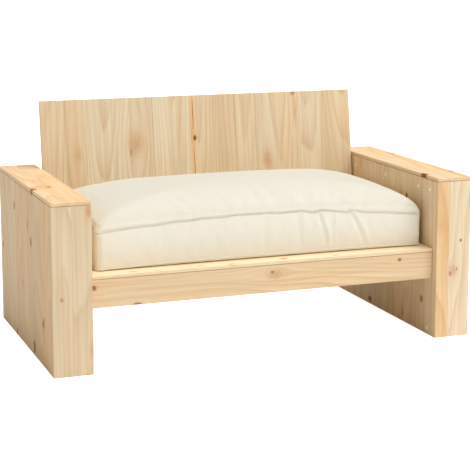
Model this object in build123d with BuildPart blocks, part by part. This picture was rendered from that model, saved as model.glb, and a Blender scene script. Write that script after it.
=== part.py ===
"""Dog sofa bed: a pine frame with two box arms, a slatted seat, a leaning backrest
and a loose box cushion.

Millimetres. +Z is up, +Y points to the back, and the origin is on the floor in the
middle of the footprint. "Left" is -X and "right" is +X, seen from the front.
"""
from build123d import *
import os
from math import cos, radians, sin

# ---- driving dimensions ---------------------------------------------------------
WIDTH = 1105            # over the outer faces of the two arms
DEPTH = 600             # over the front and back of an arm
ARM_HEIGHT = 420
ARM_WIDTH = 97
BACK_HEIGHT = 598       # floor to the top front edge of the backrest
BOARD = 9               # thickness of every edge-glued panel and slat
BATTEN = 18             # thickness of rails, bearers, cleats and battens
EASE = 1.5              # radius on the edges of the panels
JOINT_GAP = 0.8         # open joint above the arm panels and above the rails

CORNER_CLEAT = 70       # width of the upright cleats inside an arm
TOP_CLEAT = 52          # height of the lengthwise cleats under an arm's top

SEAT_HEIGHT = 235       # floor to the top of the slats
RAIL_HEIGHT = 70
RAIL_SETBACK = 20       # front rail behind the front of the arms
RAIL_PLAY = 1           # between a rail's end and the arm
BEARER_HEIGHT = 44
SLAT_COUNT = 5
SLAT_WIDTH = 85
SLAT_END = 188          # y of the last slat's back edge
REAR_RAIL_BACK = 168    # y of the rear rail's back face

BACK_LEAN = 8           # degrees from upright
BACK_TOP_Y = 242        # y of the backrest's top front edge
BACK_BOTTOM_Z = 156
BACK_PLAY = 3           # between the backrest's side edge and the arm
BACK_CLEAT = 28         # width of the leaning cleats behind the backrest
BACK_BATTEN = 60        # height of the battens across the backrest
BACK_CLEAT_DROP = 6     # top of the leaning cleats below the arms' top
BACK_CLEAT_RISE = 8     # their lower end above the panel's lower edge
UPPER_BATTEN_DOWN = 40  # upper batten below the panel's top edge
LOWER_BATTEN_RISE = 20  # lower batten above the panel's lower edge
CLEAT_SCREW_SHARES = (0.1, 0.45, 0.8)   # screw places along a leaning cleat
PANEL_SCREW_STEP = 0.1  # the panel's screws, below the arm's as a share of the cleat
BATTEN_SCREW_X = (-400, -200, 0, 200, 400)
BATTEN_GAP = 6          # between a batten's end and the cleat beside it

SCREW = 4               # shank diameter
SCREW_HEAD = 7.5        # countersunk head diameter
SCREW_HEAD_DEPTH = 3
PAN_HEAD_HEIGHT = 1.8
SHORT_SCREW = 25
FOOT_SCREW_HEIGHT = 16  # the lowest arm screw above the floor
ROW_SCREW_INSET = 28    # the outer lengthwise arm screws, in from the upright cleats
POINT_COVER = 3         # wood left in front of a screw's point
CAP_DIAMETER = 11
CAP_HEIGHT = 1.4
RECESS_LENGTH = 3.6     # cross recess in a screw head
RECESS_WIDTH = 0.8
RECESS_DEPTH = 1.2

BRACKET_SCREW = 7.5     # its length in the wood
BRACKET_LEG = 30
BRACKET_WIDTH = 16
BRACKET_PLATE = 2
BRACKET_HEIGHT = 14     # middle of a bracket above the rail's lower edge
BRACKET_REACH = 0.6     # a bracket screw's place along its leg

CUSHION_WIDTH = 873     # at the bottom seam
CUSHION_FRONT = -238
CUSHION_BACK = 186
CUSHION_SHIFT = 6.5     # the loose cushion lies a little to the right
CUSHION_CLEARANCE = 0.3
COVER_WALL = 2.5
CUSHION_CORNER = 45
ZIPPER_LENGTH = 620
ZIPPER_WIDTH = 12
ZIPPER_THICKNESS = 1.2
ZIPPER_CORNER = 3
SLIDER_INSET = 14       # middle of the slider from the tape's end
SLIDER_LENGTH = 12
SLIDER_WIDTH = 8
PULL_OFFSET = 16        # middle of the pull tab from the middle of the slider
PULL_LENGTH = 24
PULL_WIDTH = 5
SLIDER_THICKNESS = 2
SLIDER_CORNER = 2

# ---- places worked out from them -------------------------------------------------
HALF_WIDTH = WIDTH / 2
HALF_DEPTH = DEPTH / 2
ARM_INNER = HALF_WIDTH - ARM_WIDTH              # inner face of an arm
PANEL_TOP = ARM_HEIGHT - BOARD                  # underside of an arm's top panel
PANEL_END = HALF_DEPTH - BOARD                  # where the side panels end
CLEAT_END = PANEL_END - CORNER_CLEAT
SLAT_BASE = SEAT_HEIGHT - BOARD
RAIL_BASE = SLAT_BASE - RAIL_HEIGHT
BEARER_BASE = SLAT_BASE - BEARER_HEIGHT
RAIL_FRONT = RAIL_SETBACK - HALF_DEPTH
RAIL_BACK = RAIL_FRONT + BATTEN
REAR_RAIL_FRONT = REAR_RAIL_BACK - BATTEN
RAIL_HALF = ARM_INNER - RAIL_PLAY
SLAT_PITCH = (SLAT_END - RAIL_FRONT - SLAT_WIDTH) / (SLAT_COUNT - 1)
SLAT_CENTRES = [RAIL_FRONT + SLAT_WIDTH / 2 + i * SLAT_PITCH for i in range(SLAT_COUNT)]
BACK_LENGTH = (BACK_HEIGHT - BACK_BOTTOM_Z) / cos(radians(BACK_LEAN))

# On this plane x runs across the bed, y runs down the backrest from its top front
# edge, and z points out of its back.
BACK_PLANE = Plane(
    origin=(0, BACK_TOP_Y, BACK_HEIGHT),
    x_dir=(1, 0, 0),
    z_dir=(0, cos(radians(BACK_LEAN)), -sin(radians(BACK_LEAN))),
)
SIDES = (("left", -1), ("right", 1))

ON_BASE = (Align.CENTER, Align.CENTER, Align.MIN)
UNDER_TOP = (Align.CENTER, Align.CENTER, Align.MAX)

os.makedirs("parts", exist_ok=True)


def save(builder, label):
    """Label a finished piece and write its STEP file."""
    builder.part.label = label
    export_step(builder.part, f"parts/{label}.step")


# ---- fasteners ---------------------------------------------------------------------
def with_recess(screws, heads, direction):
    """The screws with a cross recess cut into each head."""
    with BuildPart() as recessed:
        add(screws)
        for head in heads:
            with Locations(Plane(origin=head, z_dir=direction)):
                Box(RECESS_LENGTH, RECESS_WIDTH, RECESS_DEPTH, align=ON_BASE, mode=Mode.SUBTRACT)
                Box(RECESS_WIDTH, RECESS_LENGTH, RECESS_DEPTH, align=ON_BASE, mode=Mode.SUBTRACT)
    return recessed


def wood_screws(label, heads, direction, length, both_arms=False):
    """Countersunk screws, heads flush at the given points, driven along a direction.

    With both_arms, the points and direction are for the right side and are mirrored. The
    plain shape, without recesses, is returned to drill the boards with.
    """
    with BuildPart() as screws:
        for head in heads:
            with Locations(Plane(origin=head, z_dir=direction)):
                Cylinder(SCREW / 2, length, align=ON_BASE)
                Cone(SCREW_HEAD / 2, SCREW / 2, SCREW_HEAD_DEPTH, align=ON_BASE)
    recessed = with_recess(screws.part, heads, direction)
    if both_arms:
        with screws:
            mirror(about=Plane.YZ)
        with recessed:
            mirror(about=Plane.YZ)
    save(recessed, label)
    return screws.part


def arm_screw_places():
    """Heads on the inner face of the right arm: the top cleat and both upright cleats."""
    top_row = PANEL_TOP - TOP_CLEAT / 2
    corner = PANEL_END - CORNER_CLEAT / 2
    row_end = CLEAT_END - ROW_SCREW_INSET
    places = [(ARM_INNER, y, top_row) for y in (-corner, -row_end, 0, row_end, corner)]
    places += [(ARM_INNER, y, FOOT_SCREW_HEIGHT) for y in (-corner, corner)]
    return places


def screw_caps(label, heads):
    """Domed plastic caps over the screw heads on the inner faces of both arms."""
    with BuildPart() as caps:
        for head in heads:
            with Locations(Plane(origin=head, z_dir=(-1, 0, 0))):
                Cone(CAP_DIAMETER / 2, CAP_DIAMETER / 2 - CAP_HEIGHT, CAP_HEIGHT, align=ON_BASE)
        mirror(about=Plane.YZ)
    save(caps, label)


def bracket_screws(label, places):
    """Pan-head screws through the bracket legs; each place is a head point and a direction."""
    with BuildPart() as screws:
        for head, direction in places:
            with Locations(Plane(origin=head, z_dir=direction)):
                Cylinder(SCREW_HEAD / 2, PAN_HEAD_HEIGHT, align=UNDER_TOP)
                Cylinder(SCREW / 2, BRACKET_PLATE + BRACKET_SCREW, align=ON_BASE)
    save(screws, label)
    return screws.part


# The brackets stand under the bearers, in the four corners of the seat frame. Each
# entry is the corner's x and y, and the way its legs point.
BRACKET_Z = RAIL_BASE + BRACKET_HEIGHT
BRACKET_CORNERS = [
    (-ARM_INNER, RAIL_BACK, 1, 1),
    (ARM_INNER, RAIL_BACK, -1, 1),
    (-ARM_INNER, REAR_RAIL_FRONT, 1, -1),
    (ARM_INNER, REAR_RAIL_FRONT, -1, -1),
]


def bracket_screw_places():
    """One screw in the middle of each bracket leg."""
    reach = BRACKET_LEG * BRACKET_REACH
    places = []
    for x, y, x_way, y_way in BRACKET_CORNERS:
        on_rail = (x + x_way * reach, y + y_way * BRACKET_PLATE, BRACKET_Z)
        places.append((on_rail, (0, -y_way, 0)))
        on_arm = (x + x_way * BRACKET_PLATE, y + y_way * reach, BRACKET_Z)
        places.append((on_arm, (-x_way, 0, 0)))
    return places


def corner_brackets(label, screws):
    """Bent steel angles that tie the two rails to the arms, drilled for their screws."""
    with BuildPart() as brackets:
        with BuildSketch(Plane.XY.offset(BRACKET_Z - BRACKET_WIDTH / 2)):
            for x, y, x_way, y_way in BRACKET_CORNERS:
                with Locations((x + x_way * BRACKET_LEG / 2, y + y_way * BRACKET_PLATE / 2)):
                    Rectangle(BRACKET_LEG, BRACKET_PLATE)
                with Locations((x + x_way * BRACKET_PLATE / 2, y + y_way * BRACKET_LEG / 2)):
                    Rectangle(BRACKET_PLATE, BRACKET_LEG)
        extrude(amount=BRACKET_WIDTH)
        add(screws, mode=Mode.SUBTRACT)
    save(brackets, label)


# ---- boards ------------------------------------------------------------------------
def board(label, x_limits, y_limits, z_limits, screws=(), ease=EASE):
    """A straight board between the given limits, its edges eased, drilled for screws."""
    x_low, x_high = sorted(x_limits)
    y_low, y_high = sorted(y_limits)
    z_low, z_high = sorted(z_limits)
    with BuildPart() as piece:
        with BuildSketch(Plane.XY.offset(z_low)):
            with Locations(((x_low + x_high) / 2, (y_low + y_high) / 2)):
                Rectangle(x_high - x_low, y_high - y_low)
        extrude(amount=z_high - z_low)
        if ease:
            fillet(piece.edges(), ease)
        for group in screws:
            add(group, mode=Mode.SUBTRACT)
    save(piece, label)


def leaning_board(label, x_limits, down_limits, out_limits, screws=(), ease=EASE):
    """A board laid along the backrest: across, down from its top edge, and out of its back."""
    x_low, x_high = sorted(x_limits)
    down_low, down_high = down_limits
    out_low, out_high = out_limits
    with BuildPart() as piece:
        with BuildSketch(BACK_PLANE.offset(out_low)):
            with Locations(((x_low + x_high) / 2, (down_low + down_high) / 2)):
                Rectangle(x_high - x_low, down_high - down_low)
        extrude(amount=out_high - out_low)
        if ease:
            fillet(piece.edges(), ease)
        for group in screws:
            add(group, mode=Mode.SUBTRACT)
    save(piece, label)


def arm(side, sign, screws, fixings):
    """One box arm: five panels around six cleats, its top resting on the cleats."""
    outer = sign * HALF_WIDTH
    inner = sign * ARM_INNER
    panel_y = (-PANEL_END, PANEL_END)
    panel_z = (0, PANEL_TOP - JOINT_GAP)
    board(f"{side}_arm_outer_panel", (outer - sign * BOARD, outer), panel_y, panel_z)
    board(f"{side}_arm_inner_panel", (inner, inner + sign * BOARD), panel_y, panel_z,
          screws=[screws, *fixings])
    board(f"{side}_arm_front_panel", (inner, outer), (-HALF_DEPTH, -PANEL_END), panel_z)
    board(f"{side}_arm_back_panel", (inner, outer), (PANEL_END, HALF_DEPTH), panel_z)
    board(f"{side}_arm_top_panel", (inner, outer), (-HALF_DEPTH, HALF_DEPTH),
          (PANEL_TOP, ARM_HEIGHT))

    cleat_walls = (
        ("inner", inner + sign * BOARD, inner + sign * (BOARD + BATTEN)),
        ("outer", outer - sign * (BOARD + BATTEN), outer - sign * BOARD),
    )
    for wall, near, far in cleat_walls:
        for end, way in (("front", -1), ("back", 1)):
            board(f"{side}_arm_{wall}_{end}_cleat", (near, far),
                  (way * CLEAT_END, way * PANEL_END), (0, PANEL_TOP), screws=[screws], ease=0)
        board(f"{side}_arm_{wall}_top_cleat", (near, far), (-CLEAT_END, CLEAT_END),
              (PANEL_TOP - TOP_CLEAT, PANEL_TOP), screws=[screws], ease=0)


def seat(seat_screws, bearer_screws, angle_screws):
    """Two rails between the arms, three bearers and the slats across them."""
    rail_z = (RAIL_BASE, SLAT_BASE - JOINT_GAP)
    across = (-RAIL_HALF, RAIL_HALF)
    board("front_rail", across, (RAIL_FRONT, RAIL_BACK), rail_z, screws=[angle_screws])
    board("rear_rail", across, (REAR_RAIL_FRONT, REAR_RAIL_BACK), rail_z,
          screws=[angle_screws])

    bearer_y = (RAIL_BACK, REAR_RAIL_FRONT)
    bearer_z = (BEARER_BASE, SLAT_BASE)
    for side, sign in SIDES:
        board(f"{side}_seat_bearer", (sign * (ARM_INNER - BATTEN), sign * ARM_INNER),
              bearer_y, bearer_z, screws=[seat_screws, bearer_screws], ease=0)
    board("centre_seat_bearer", (-BATTEN / 2, BATTEN / 2), bearer_y, bearer_z,
          screws=[seat_screws], ease=0)

    for number, centre in enumerate(SLAT_CENTRES, start=1):
        board(f"seat_slat_{number}", across,
              (centre - SLAT_WIDTH / 2, centre + SLAT_WIDTH / 2),
              (SLAT_BASE, SEAT_HEIGHT), screws=[seat_screws])


# ---- backrest ------------------------------------------------------------------------
BACK_HALF = ARM_INNER - BACK_PLAY
CLEAT_TOP_DOWN = (BACK_HEIGHT - ARM_HEIGHT) / cos(radians(BACK_LEAN)) + BACK_CLEAT_DROP
CLEAT_BOTTOM_DOWN = BACK_LENGTH - BACK_CLEAT_RISE
LOWER_BATTEN_DOWN = BACK_LENGTH - BACK_BATTEN - LOWER_BATTEN_RISE
BATTEN_HALF = ARM_INNER - BATTEN - BATTEN_GAP


def back_point(across, down, out):
    """The point that lies this far across, down and out of the back of the backrest."""
    point = BACK_PLANE.from_local_coords((across, down, out))
    return (point.X, point.Y, point.Z)


def backrest(cleat_screws, panel_screws, batten_screws):
    """A leaning panel, two cleats that hold it to the arms and two battens across it."""
    leaning_board("backrest_panel", (-BACK_HALF, BACK_HALF), (0, BACK_LENGTH), (0, BOARD),
                  screws=[panel_screws, batten_screws])
    for side, sign in SIDES:
        leaning_board(f"{side}_backrest_cleat",
                      (sign * (ARM_INNER - BATTEN), sign * ARM_INNER),
                      (CLEAT_TOP_DOWN, CLEAT_BOTTOM_DOWN), (BOARD, BOARD + BACK_CLEAT),
                      screws=[cleat_screws, panel_screws])
    for name, down in (("upper", UPPER_BATTEN_DOWN), ("lower", LOWER_BATTEN_DOWN)):
        leaning_board(f"{name}_backrest_batten", (-BATTEN_HALF, BATTEN_HALF),
                      (down, down + BACK_BATTEN), (BOARD, BOARD + BATTEN),
                      screws=[batten_screws])


# ---- cushion ---------------------------------------------------------------------------
# Height above the seat, and how far the outline stands in from its widest.
CUSHION_LEVELS = (
    (0, 5),
    (50, 0),
    (96, 4),
    (126, 40),
    (148, 85),
    (163, 135),
    (170, 185),
)
CUSHION_BULGE = 5       # the boxing stands this far outside the bottom seam
CROWN_CORNER_SHARE = 0.4    # largest corner radius as a share of a level's depth


def cushion_body(wall):
    """The cushion's crowned box, all its faces moved inwards by the given wall."""
    width = CUSHION_WIDTH + 2 * CUSHION_BULGE
    depth = CUSHION_BACK - CUSHION_FRONT + 2 * CUSHION_BULGE
    base = SEAT_HEIGHT + CUSHION_CLEARANCE + wall
    top = CUSHION_LEVELS[-1][0]
    middle = (CUSHION_SHIFT, (CUSHION_FRONT + CUSHION_BACK) / 2)
    with BuildPart() as body:
        for height, inset in CUSHION_LEVELS:
            level = base + height * (top - 2 * wall) / top
            across = width - 2 * (inset + wall)
            along = depth - 2 * (inset + wall)
            corner = min(CUSHION_CORNER, CROWN_CORNER_SHARE * along)
            with BuildSketch(Plane.XY.offset(level)):
                with Locations(middle):
                    RectangleRounded(across, along, corner)
        loft(ruled=True)
    return body.part


def cushion():
    """Fabric cover, loose filling inside it, and a zipper along the back boxing."""
    hollow = cushion_body(COVER_WALL)
    with BuildPart() as cover:
        add(cushion_body(0))
        add(hollow, mode=Mode.SUBTRACT)
    save(cover, "cushion_cover")

    with BuildPart() as filling:
        add(cushion_body(COVER_WALL + CUSHION_CLEARANCE))
    save(filling, "cushion_filling")

    zipper_z = SEAT_HEIGHT + CUSHION_CLEARANCE + CUSHION_LEVELS[1][0]
    zipper_y = CUSHION_BACK + CUSHION_BULGE
    with BuildPart() as tape:
        with BuildSketch(Plane.XZ.offset(-zipper_y)):
            with Locations((CUSHION_SHIFT, zipper_z)):
                RectangleRounded(ZIPPER_LENGTH, ZIPPER_WIDTH, ZIPPER_CORNER)
        extrude(amount=-ZIPPER_THICKNESS)
    save(tape, "cushion_zipper_tape")

    slider_x = CUSHION_SHIFT + ZIPPER_LENGTH / 2 - SLIDER_INSET
    slider_y = zipper_y + ZIPPER_THICKNESS
    with BuildPart() as slider:
        with BuildSketch(Plane.XZ.offset(-slider_y)):
            with Locations((slider_x, zipper_z)):
                RectangleRounded(SLIDER_LENGTH, SLIDER_WIDTH, SLIDER_CORNER)
            with Locations((slider_x - PULL_OFFSET, zipper_z)):
                RectangleRounded(PULL_LENGTH, PULL_WIDTH, SLIDER_CORNER)
        extrude(amount=-SLIDER_THICKNESS)
    save(slider, "cushion_zipper_slider")


# ---- the whole bed -------------------------------------------------------------------
arm_heads = arm_screw_places()
arm_screws = wood_screws("arm_screws", arm_heads, (1, 0, 0), SHORT_SCREW, both_arms=True)
screw_caps("arm_screw_caps", arm_heads)

bearer_row = ARM_INNER - BATTEN / 2
long_screw = BEARER_HEIGHT + BOARD - POINT_COVER
slat_heads = [(x, y, BEARER_BASE) for y in SLAT_CENTRES for x in (-bearer_row, 0, bearer_row)]
seat_screws = wood_screws("seat_screws", slat_heads, (0, 0, 1), long_screw)

bearer_middle = (BEARER_BASE + SLAT_BASE) / 2
bearer_heads = [(ARM_INNER - BATTEN, y + SLAT_PITCH / 2, bearer_middle) for y in SLAT_CENTRES[:-1]]
bearer_screws = wood_screws("bearer_screws", bearer_heads, (1, 0, 0), SHORT_SCREW,
                            both_arms=True)

angle_screws = bracket_screws("bracket_screws", bracket_screw_places())
corner_brackets("seat_brackets", angle_screws)

cleat_span = CLEAT_BOTTOM_DOWN - CLEAT_TOP_DOWN
cleat_heads = []
panel_heads = []
for share in CLEAT_SCREW_SHARES:
    down = CLEAT_TOP_DOWN + share * cleat_span
    cleat_heads.append(back_point(ARM_INNER - BATTEN, down, BOARD + BACK_CLEAT / 2))
    panel_heads.append(back_point(bearer_row, down + PANEL_SCREW_STEP * cleat_span, BOARD + BACK_CLEAT))
into_panel = tuple(-BACK_PLANE.z_dir)
cleat_screws = wood_screws("backrest_cleat_screws", cleat_heads, (1, 0, 0), SHORT_SCREW,
                           both_arms=True)
panel_screws = wood_screws("backrest_screws", panel_heads, into_panel, BACK_CLEAT + BOARD - POINT_COVER,
                           both_arms=True)

batten_heads = []
for down in (UPPER_BATTEN_DOWN, LOWER_BATTEN_DOWN):
    for across in BATTEN_SCREW_X:
        batten_heads.append(back_point(across, down + BACK_BATTEN / 2, BOARD + BATTEN))
batten_screws = wood_screws("batten_screws", batten_heads, into_panel, BATTEN + BOARD - POINT_COVER)

for side_name, side_sign in SIDES:
    arm(side_name, side_sign, arm_screws, [bearer_screws, cleat_screws, angle_screws])
seat(seat_screws, bearer_screws, angle_screws)
backrest(cleat_screws, panel_screws, batten_screws)
cushion()
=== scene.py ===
"""Looks for the pine dog sofa: every board gets its own pine, the loose cushion is a
sewn, stuffed cover with rolled seams, and the screws, caps, brackets and zipper get
their metals and plastics. Metres, +Z up, the bed's open front towards -Y."""
from math import cos, pi, radians, sin
from random import Random

import bpy
import numpy as np
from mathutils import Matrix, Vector


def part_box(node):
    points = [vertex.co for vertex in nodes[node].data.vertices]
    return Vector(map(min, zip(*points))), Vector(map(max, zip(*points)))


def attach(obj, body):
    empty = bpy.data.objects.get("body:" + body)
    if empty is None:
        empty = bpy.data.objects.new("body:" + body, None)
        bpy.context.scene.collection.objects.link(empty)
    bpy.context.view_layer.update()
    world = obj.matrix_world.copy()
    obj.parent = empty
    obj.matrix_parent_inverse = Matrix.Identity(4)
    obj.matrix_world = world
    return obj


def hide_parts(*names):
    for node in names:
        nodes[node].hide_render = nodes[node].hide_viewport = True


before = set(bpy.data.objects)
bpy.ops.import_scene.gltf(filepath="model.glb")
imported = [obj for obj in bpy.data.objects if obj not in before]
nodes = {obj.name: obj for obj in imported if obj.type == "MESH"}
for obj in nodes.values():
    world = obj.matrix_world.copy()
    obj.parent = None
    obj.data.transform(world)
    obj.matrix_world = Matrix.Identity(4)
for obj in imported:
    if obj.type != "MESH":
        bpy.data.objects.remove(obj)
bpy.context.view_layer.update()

MM = 0.001


# ---- colours and node wiring --------------------------------------------------------
def srgb(red, green, blue):
    """A display colour, 0 to 255 each, as the linear colour that shaders use."""
    share = np.array([red, green, blue]) / 255
    linear = np.where(share <= 0.04045, share / 12.92, ((share + 0.055) / 1.055) ** 2.4)
    return (*linear.tolist(), 1.0)


class Wiring:
    """Adds nodes to one tree. Each method returns an output socket to feed onwards."""

    def __init__(self, tree):
        self.tree = tree

    def node(self, kind, **settings):
        """A new node of a kind, with its settings."""
        made = self.tree.nodes.new(kind)
        for name, value in settings.items():
            setattr(made, name, value)
        return made

    def feed(self, socket, value):
        """Link an output socket to an input socket, or set the input to a number."""
        if isinstance(value, bpy.types.NodeSocket):
            self.tree.links.new(value, socket)
        elif value is not None:
            socket.default_value = value

    def math(self, operation, *values, clamp=False):
        made = self.node("ShaderNodeMath", operation=operation, use_clamp=clamp)
        for socket, value in zip(made.inputs, values):
            self.feed(socket, value)
        return made.outputs[0]

    def vector(self, operation, *values):
        made = self.node("ShaderNodeVectorMath", operation=operation)
        for socket, value in zip(made.inputs, values):
            self.feed(socket, value)
        scalar = operation in ("DOT_PRODUCT", "LENGTH")
        return made.outputs["Value" if scalar else "Vector"]

    def scaled(self, vector, factor):
        made = self.node("ShaderNodeVectorMath", operation="SCALE")
        self.feed(made.inputs[0], vector)
        self.feed(made.inputs["Scale"], factor)
        return made.outputs[0]

    def join(self, x, y, z=0.0):
        made = self.node("ShaderNodeCombineXYZ")
        for socket, value in zip(made.inputs, (x, y, z)):
            self.feed(socket, value)
        return made.outputs[0]

    def split(self, vector):
        made = self.node("ShaderNodeSeparateXYZ")
        self.feed(made.inputs[0], vector)
        return made.outputs[0], made.outputs[1], made.outputs[2]

    def noise(self, vector, scale, detail=2.0, roughness=0.5, stretch=None):
        """Noise from 0 to 1 with its middle at 0.5, stretched by a factor per axis."""
        if stretch:
            vector = self.vector("MULTIPLY", vector, stretch)
        made = self.node("ShaderNodeTexNoise")
        self.feed(made.inputs["Vector"], vector)
        made.inputs["Scale"].default_value = scale
        made.inputs["Detail"].default_value = detail
        made.inputs["Roughness"].default_value = roughness
        return made.outputs[0]

    def mix(self, factor, first, second):
        """The first colour, turning into the second as the factor goes from 0 to 1."""
        made = self.node("ShaderNodeMix", data_type="RGBA")
        self.feed(made.inputs["Factor"], factor)
        first_colour, second_colour = [socket for socket in made.inputs if socket.type == "RGBA"]
        self.feed(first_colour, first)
        self.feed(second_colour, second)
        return next(socket for socket in made.outputs if socket.type == "RGBA")

    def smooth(self, value, low, high, to_low=0.0, to_high=1.0):
        """A smooth step of value from low to high."""
        made = self.node("ShaderNodeMapRange", interpolation_type="SMOOTHSTEP")
        for socket, number in zip(made.inputs, (value, low, high, to_low, to_high)):
            self.feed(socket, number)
        return made.outputs[0]

    def ramp(self, value, stops, interpolation="LINEAR"):
        """A colour ramp; returns its colour and its alpha."""
        made = self.node("ShaderNodeValToRGB")
        ramp = made.color_ramp
        ramp.interpolation = interpolation
        while len(ramp.elements) > 1:
            ramp.elements.remove(ramp.elements[-1])
        ramp.elements[0].position = stops[0][0]
        ramp.elements[0].color = stops[0][1]
        for position, colour in stops[1:]:
            ramp.elements.new(position).color = colour
        self.feed(made.inputs[0], value)
        return made.outputs[0], made.outputs[1]


def new_group(name, inputs, outputs):
    """An empty node group and its wiring, input sockets and output sockets."""
    tree = bpy.data.node_groups.new(name, "ShaderNodeTree")
    for label, kind in inputs:
        tree.interface.new_socket(label, in_out="INPUT", socket_type=kind)
    for label, kind in outputs:
        tree.interface.new_socket(label, in_out="OUTPUT", socket_type=kind)
    wiring = Wiring(tree)
    inner = wiring.node("NodeGroupInput")
    outer = wiring.node("NodeGroupOutput")
    return tree, wiring, inner.outputs, outer.inputs


def new_material(name):
    """A principled material, its wiring and its shader's inputs."""
    material = bpy.data.materials.new(name)
    material.use_nodes = True
    wiring = Wiring(material.node_tree)
    shader = material.node_tree.nodes["Principled BSDF"]
    return material, wiring, shader.inputs


# ---- pine ----------------------------------------------------------------------------
CREAM = srgb(245, 230, 200)
PEACH = srgb(246, 210, 160)
PALE_STREAK = srgb(232, 205, 166)
WARM_STREAK = srgb(238, 192, 136)
PALE_LATEWOOD = srgb(206, 172, 126)
WARM_LATEWOOD = srgb(220, 164, 104)
RING_SPACING = 3.5 * MM
PITH_REACH = 55 * MM            # the pith lies up to this far to either side of a stave
PITH_LEAST_DEPTH = 22 * MM      # and this far behind its face, plus up to the range
PITH_DEPTH_RANGE = 50 * MM
STAVE_SHIFT = 3.7               # sets the noise of one stave apart from the next
SLOW_WANDER = 18 * MM           # how far slow and quick noise push the rings about
QUICK_WANDER = 1.5 * MM
TAPER = 0.014                   # growth of a ring's radius along the log
NUMBER = "NodeSocketFloat"
VECTOR = "NodeSocketVector"
COLOUR = "NodeSocketColor"


def make_knot_group():
    """One knot. Distance to it is measured in knot radii, shorter along the grain by the
    stretch. The grain is squeezed towards the knot's axis in a bell-shaped patch, so its
    lines run round the knot, and the nearest knot so far is kept with its darkness."""
    tree, w, given, result = new_group(
        "pine_knot",
        [("Place", VECTOR), ("Grain", VECTOR), ("Nearest", NUMBER), ("Darkness", NUMBER),
         ("Centre", VECTOR), ("Radius", NUMBER), ("Stretch", NUMBER), ("Own", NUMBER)],
        [("Grain", VECTOR), ("Nearest", NUMBER), ("Darkness", NUMBER)],
    )
    across, along, _ = w.split(w.vector("SUBTRACT", given["Place"], given["Centre"]))
    wobble = w.noise(given["Place"], 110.0, 2.0, 0.5)
    ragged = w.math("MULTIPLY_ADD", wobble, 0.8, -0.4)
    squeezed = w.math("DIVIDE", along, given["Stretch"])
    flat = w.vector("LENGTH", w.join(across, squeezed))
    distance = w.math("ADD", w.math("DIVIDE", flat, given["Radius"]), ragged)

    patch = w.vector("LENGTH", w.join(across, w.math("MULTIPLY", squeezed, 0.42)))
    patch = w.math("DIVIDE", patch, w.math("MULTIPLY", given["Radius"], 2.4))
    bell = w.math("EXPONENT", w.math("MULTIPLY", w.math("POWER", patch, 2.0), -1.0))
    pull = w.math("MULTIPLY", w.math("MULTIPLY", across, bell), -0.85)
    w.feed(result["Grain"], w.vector("ADD", given["Grain"], w.join(pull, 0.0)))

    nearer = w.math("LESS_THAN", distance, given["Nearest"])
    w.feed(result["Nearest"], w.math("MINIMUM", distance, given["Nearest"]))
    change = w.math("SUBTRACT", given["Own"], given["Darkness"])
    w.feed(result["Darkness"], w.math("MULTIPLY_ADD", nearer, change, given["Darkness"]))
    return tree


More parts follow.
